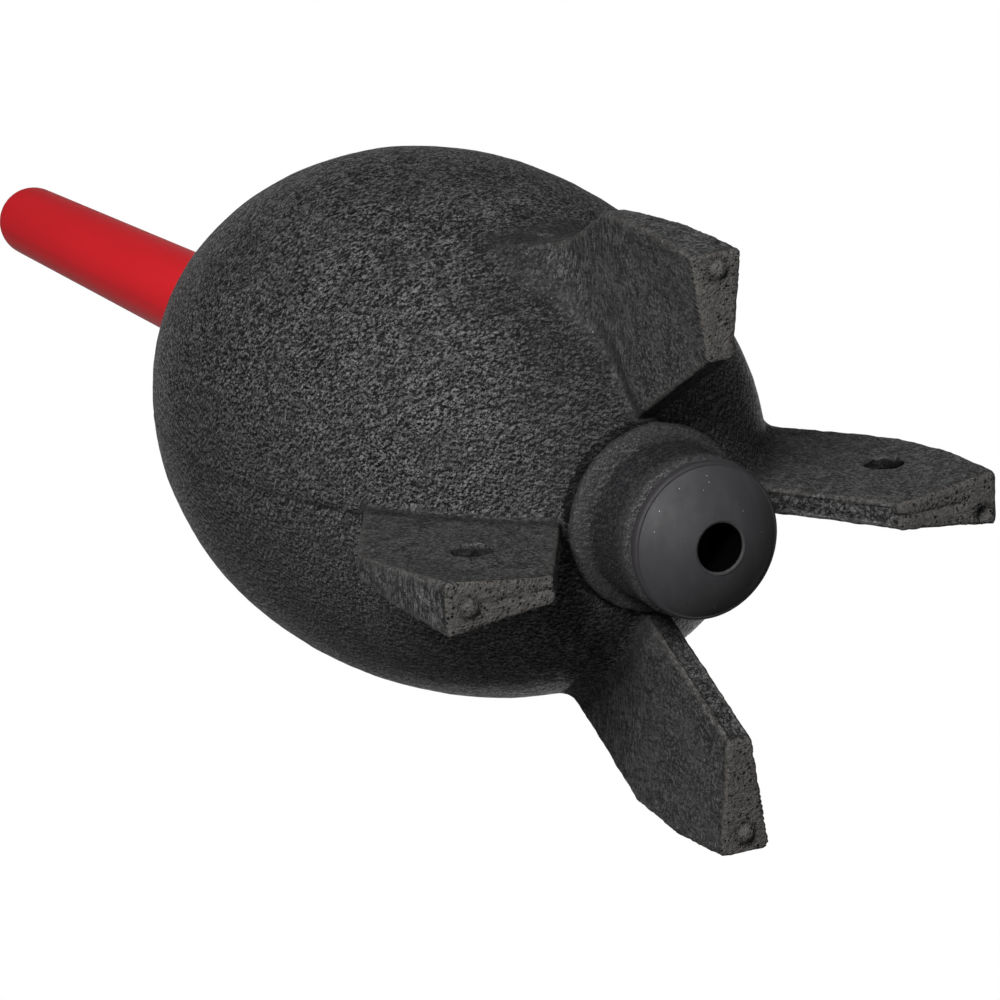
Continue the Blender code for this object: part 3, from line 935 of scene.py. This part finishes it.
GRAIN_SIZE, GRAIN_SHIFT, GRAIN_SLOPES = 0.45, 0.06, (-0.075, 0.11)
# the last of these is how much of the pebbles' tone stays in the veins' painted shade
VEIN_SIZE, DRAWN_VEIN_SIZE, VEIN_DEPTH = 0.62, 0.45, 0.35
VEINS_IN_FINS = 0.45
RUBBER_BUMP = 0.60
# the grain's tones: painted shade on the pebbles' far sides and in the veins, painted light on their lit
# sides
RUBBER_DEEP, RUBBER_RAISED = grey(0.001), (0.138, 0.138, 0.139)
FOOT_PORE, FOOT_SKIN = grey(0.004), (0.060, 0.057, 0.053)


def rubber_grain(f):
    """The pebbles, painted lit towards the light and shaded away from it; thin painted shade lines wind
    between.

    Also gives the noise that the pebbles are made from, as their height.
    """
    drawn = f.veins(DRAWN_VEIN_SIZE, 3.0, 0.6, f.stretched(1, 0.25, 1))
    veins = f.mix(f.zone("streaks"), f.veins(VEIN_SIZE, 3.0, 0.55), drawn)
    width = f.span(f.noise(1.7), 0.3, 0.7, 0.08, 0.17)
    # painted shade: thin dark lines that wind between the pebbles
    gaps = f.span(veins, 0.0, width)
    lit, unlit = (f.noise(GRAIN_SIZE, 3.0, 0.6, f.shifted(by)) for by in (GRAIN_SHIFT, -GRAIN_SHIFT))
    slope = f.span(f.math("SUBTRACT", lit, unlit), *GRAIN_SLOPES)
    pebble = f.times(slope, f.mix(gaps, VEIN_DEPTH, 1.0))
    return f.mix(f.times(f.zone("fin"), VEINS_IN_FINS), pebble, gaps), lit


def base_crevice(f):
    """Painted shade: a dark line between the base ring and the bulb, a little ragged."""
    low, out, soft, unevenness = RING_TOP_Z - 0.05, RING_RADIUS + 0.22, 0.2, 1.6
    ragged = f.times(f.math("SUBTRACT", f.noise(1.2, 3.0, 0.7), 0.5), unevenness)
    beside = f.span(f.math("ADD", f.across(), ragged), out + soft, out)
    return f.times(f.span(f.height(), low - soft, low), beside)


def rubber_colour(f, pebble, skin, fine):
    """The grain's painted light and shade, then a layer for each part of the surface: how much it covers,
    and its tone.
    """
    patch = f.span(f.noise(6.0, 3.0, 0.6), 0.35, 0.65)
    fibres = f.span(f.noise(0.32, 2.0, 0.6, f.stretched(1.0, 1.0, 0.16)), 0.45, 0.6)
    worn = f.times(f.times(fibres, patch), f.zone("side"))
    flecks = f.times(f.specks(0.9, 0.12, 0.09, f.stretched(1, 0.3, 1)), f.zone("streaks"))
    foot_tone = f.blend(skin, FOOT_PORE, FOOT_SKIN)
    layers = (
        (f.times(patch, 0.3), (0.020, 0.020, 0.021)),  # clouds
        # painted shade on the bulb beside the lower fin
        (f.times(f.zone("dull"), 0.6), grey(0.008)),
        (f.times(f.zone("side"), 0.35), grey(0.010)),
        (f.times(worn, 0.35), (0.085, 0.083, 0.080)),  # pale fibres on the fins' sides
        (f.times(f.zone("foot"), 0.85), foot_tone),
        # painted shade: a dark ring where each pip meets its foot, and round the pit
        (f.times(f.zone("halo"), 0.7), grey(0.003)),
        (f.times(f.zone("edge"), 0.45), (0.060, 0.056, 0.051)),
        # painted shade in the fillets along the fins' roots
        (f.times(f.zone("band"), 0.6), (0.009, 0.009, 0.0095)),
        # the neck's smooth rubber is darker, and darker still as painted shade
        (f.times(f.zone("neck"), 0.75), (0.009, 0.009, 0.010)),
        (f.times(f.zone("lip"), f.span(fine, 0.35, 0.65, 0.0, 0.8)), (0.042, 0.042, 0.043)),
        # painted shade in the crevice round the base ring
        (base_crevice(f), grey(0.0005)),
        (f.times(f.zone("seam"), 0.6), grey(0.006)),
        # painted shade on the walls inside: the air space, the nozzle's socket and the neck's bore
        (f.times(f.zone("inner"), 0.8), (0.012, 0.012, 0.013)),
        # painted shade: the cord holes' walls near black
        (f.zone("hole"), grey(0.0015)),
        (f.times(flecks, 0.8), grey(0.4)),
        (f.specks(2.6, 0.14, 0.04), (0.45, 0.44, 0.42)),  # dust
    )
    # the grain's painted light and shade
    colour = f.blend(pebble, RUBBER_DEEP, RUBBER_RAISED)
    for share, tone in layers:
        colour = f.blend(share, colour, tone)
    return colour


def textured_rubber():
    """Black moulded rubber: pebbled grain, drawn out where the mould was pulled, porous feet, dust."""
    f = Finish("textured_rubber")
    pebble, height = rubber_grain(f)
    grain, foot, hole = f.zone("grain"), f.zone("foot"), f.zone("hole")
    fine, torn = f.noise(0.13, 1.0, 0.6), f.noise(0.4, 3.0, 0.7)
    skin = f.mix(f.span(f.noise(1.1), 0.42, 0.52), 1.0, f.span(f.cells(0.5), 0.14, 0.38))

    rough_foot = f.math("ADD", f.times(skin, 0.7), f.times(torn, 0.7))
    height = f.math("ADD", f.times(height, grain), f.times(fine, 0.25))
    normal = f.bump(f.math("ADD", height, f.times(rough_foot, foot)), RUBBER_BUMP)
    colour = rubber_colour(f, f.times(pebble, f.mix(grain, 0.45, 1.0)), skin, fine)
    # the cord holes stay fully matte and without shine, so their painted shade stays black
    roughness = f.mix(hole, f.mix(foot, f.mix(pebble, 0.60, 0.42), 0.85), 1.0)
    shine = f.mix(hole, f.mix(pebble, 0.1, 0.7), 0.0)
    return f.surface(colour, roughness, normal, Specular_IOR_Level=shine)


def red_plastic():
    """Satin red moulded plastic with a faint flow pattern."""
    f = Finish("red_plastic")
    darker, lighter, dust = (0.62, 0.010, 0.017), (0.69, 0.012, 0.020), (0.75, 0.35, 0.33)
    flow = f.noise(6.0, 3.0, 0.6, f.stretched(1, 1, 0.12))
    fine = f.noise(0.25)
    colour = f.blend(f.specks(3.5, 0.06, 0.03), f.blend(f.span(flow, 0.3, 0.7), darker, lighter), dust)
    roughness = f.span(flow, 0.3, 0.7, 0.55, 0.62)
    normal = f.bump(f.math("ADD", fine, f.times(flow, 2.0)), 0.012)
    return f.surface(colour, roughness, normal, Specular_IOR_Level=0.25)


def smooth_rubber():
    """The plug's smooth moulded rubber, satin, with faint smears and dust; painted shade at its rim and
    bore.
    """
    f = Finish("smooth_rubber")
    darker, lighter = (0.020, 0.020, 0.022), (0.029, 0.029, 0.031)
    rim_at, bore_at = (7.45, 7.62), (2.5, 2.4)
    smear = f.noise(2.6, 4.0, 0.65, f.stretched(1.0, 0.35, 1.0))
    fine = f.noise(0.20, 3.0, 0.6)
    rim, bore = f.span(f.across(), *rim_at), f.span(f.across(), *bore_at)
    layers = (
        (f.times(f.span(fine, 0.35, 0.65), 0.35), (0.018, 0.018, 0.019)),
        (f.specks(0.75, 0.16, 0.075), grey(0.34)),  # dust
        # painted shade round the face's edge, where the plug sits in the neck's lip
        (f.times(rim, 0.8), (0.014, 0.012, 0.014)),
        # painted shade: the bore near black, and matte without shine further down
        (bore, grey(0.001)),
    )
    colour = f.blend(f.span(smear, 0.35, 0.7), darker, lighter)
    for share, tone in layers:
        colour = f.blend(share, colour, tone)
    roughness = f.mix(bore, f.span(smear, 0.3, 0.7, 0.78, 0.66), 1.0)
    normal = f.bump(f.math("ADD", fine, smear), 0.014)
    return f.surface(colour, roughness, normal, Specular_IOR_Level=f.mix(bore, 0.35, 0.0))


def plain_finish(name, low, high, roughness):
    """Small moulded plastic or rubber piece with slight clouding."""
    f = Finish(name)
    cloud = f.noise(1.2, 3.0, 0.6)
    colour = f.blend(f.span(cloud, 0.3, 0.7), low, high)
    uneven = f.span(cloud, 0.3, 0.7, roughness - 0.05, roughness + 0.05)
    return f.surface(colour, uneven, f.bump(f.noise(0.15), 0.008))


# ---- Stage, light and camera ----

CAMERA_AT = Vector((-201.35, -128.70, -370.30)) * MM  # below the feet, with the nozzle pointing away
CAMERA_RIGHT = Vector((0.89257, 0.06097, -0.44678))
CAMERA_UP = Vector((0.17717, -0.95856, 0.22312))
CAMERA_BACK = Vector((-0.41465, -0.27830, -0.86638))
LENS, SENSOR = 165.7, 36
LIGHT_TARGET = Vector((0, 0, 30)) * MM


def camera():
    """Looks up at the feet and the plug, with the nozzle behind the bulb."""
    data = bpy.data.cameras.new("camera")
    data.lens = LENS
    data.sensor_width = SENSOR
    data.clip_start, data.clip_end = 0.01, 20
    made = bpy.data.objects.new("camera", data)
    bpy.context.scene.collection.objects.link(made)
    axes = Matrix((CAMERA_RIGHT, CAMERA_UP, CAMERA_BACK)).transposed()
    made.matrix_world = Matrix.Translation(CAMERA_AT) @ axes.to_4x4()
    bpy.context.scene.camera = made


def softbox(name, direction, distance, size, power):
    """A round light that faces the object from this direction; metres and watts."""
    data = bpy.data.lights.new(name, "AREA")
    data.shape = "DISK"
    data.size = size
    data.energy = power
    made = bpy.data.objects.new(name, data)
    bpy.context.scene.collection.objects.link(made)
    direction = direction.normalized()
    made.location = LIGHT_TARGET + direction * distance
    made.rotation_mode = "QUATERNION"
    made.rotation_quaternion = direction.to_track_quat("Z", "Y")
    made.visible_camera = False


def seen_from_camera(right, up, back):
    """A direction given as the camera sees it, in the frame's axes."""
    return CAMERA_RIGHT * right + CAMERA_UP * up + CAMERA_BACK * back


def lights():
    """Three soft lights below, on the camera's side of the object, and three above for the other views."""
    softbox("key", seen_from_camera(-0.26, 0.30, 0.92), distance=0.36, size=0.10, power=2.15)
    softbox("left", seen_from_camera(-0.75, 0.3, 0.75), distance=0.9, size=0.3, power=0.7)
    softbox("right", seen_from_camera(0.6, 0.5, 0.6), distance=0.9, size=0.5, power=1.0)
    softbox("overhead", Vector((0.35, 0.25, 1.0)), distance=1.2, size=0.9, power=2.6)
    softbox("far side", Vector((0.65, 0.5, 0.8)), distance=1.0, size=0.6, power=2.1)
    softbox("wing", Vector((-0.6, 0.8, 0.6)), distance=1.0, size=0.6, power=0.4)


def world():
    """White to the camera, and a faint even light on everything else."""
    white, strength = (1, 1, 1, 1), 0.12
    made = bpy.data.worlds.new("studio")
    made.use_nodes = True
    nodes, links = made.node_tree.nodes, made.node_tree.links
    nodes.clear()
    path = nodes.new("ShaderNodeLightPath")
    seen, lit, mix = (nodes.new(kind) for kind in ("ShaderNodeBackground",) * 2 + ("ShaderNodeMixShader",))
    seen.inputs["Color"].default_value = white
    lit.inputs["Color"].default_value = white
    lit.inputs["Strength"].default_value = strength
    output = nodes.new("ShaderNodeOutputWorld")
    links.new(path.outputs["Is Camera Ray"], mix.inputs[0])
    links.new(lit.outputs[0], mix.inputs[1])
    links.new(seen.outputs[0], mix.inputs[2])
    links.new(mix.outputs[0], output.inputs["Surface"])
    bpy.context.scene.world = made
    bpy.context.scene.view_settings.view_transform = "Standard"


def floor():
    """A pale floor at the object's lowest point, glowing a little so that it stays pale.

    Only the camera sees it, and only from above: light goes through it from both sides.
    """
    f = Finish("floor")
    half, low, cloud_size = 3.0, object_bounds()[0].z, 400.0
    tone = f.blend(f.noise(cloud_size), grey(0.50), grey(0.53))
    pale = f.add("ShaderNodeAddShader", f.add("ShaderNodeBsdfDiffuse", tone),
                 f.add("ShaderNodeEmission", tone, 1.0))
    below = f.add("ShaderNodeNewGeometry", out="Backfacing")
    not_seen = f.math("SUBTRACT", 1.0, f.add("ShaderNodeLightPath", out="Is Camera Ray"))
    mixed = f.add("ShaderNodeMixShader", f.math("MAXIMUM", below, not_seen), pale,
                  f.add("ShaderNodeBsdfTransparent"))
    output = f.tree.nodes.new("ShaderNodeOutputMaterial")
    f.tree.links.new(mixed, output.inputs["Surface"])
    mesh = bpy.data.meshes.new("floor")
    corners = [(x * half, y * half, low) for x, y in ((-1, -1), (1, -1), (1, 1), (-1, 1))]
    mesh.from_pydata(corners, [], [(0, 1, 2, 3)])
    made = bpy.data.objects.new("floor", mesh)
    made.data.materials.append(f.material)
    bpy.context.scene.collection.objects.link(made)
    made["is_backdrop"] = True


def main():
    bulb_body(textured_rubber())
    red_nozzle(red_plastic())
    inlet_plug(smooth_rubber())
    valve_seat(plain_finish("seat_plastic", grey(0.006), grey(0.012), roughness=0.6))
    valve_disc(plain_finish("disc_rubber", grey(0.006), grey(0.010), roughness=0.7))
    valve_cage(plain_finish("cage_plastic", (0.66, 0.66, 0.64), (0.76, 0.76, 0.74), roughness=0.4))
    camera()
    lights()
    world()
    floor()


main()
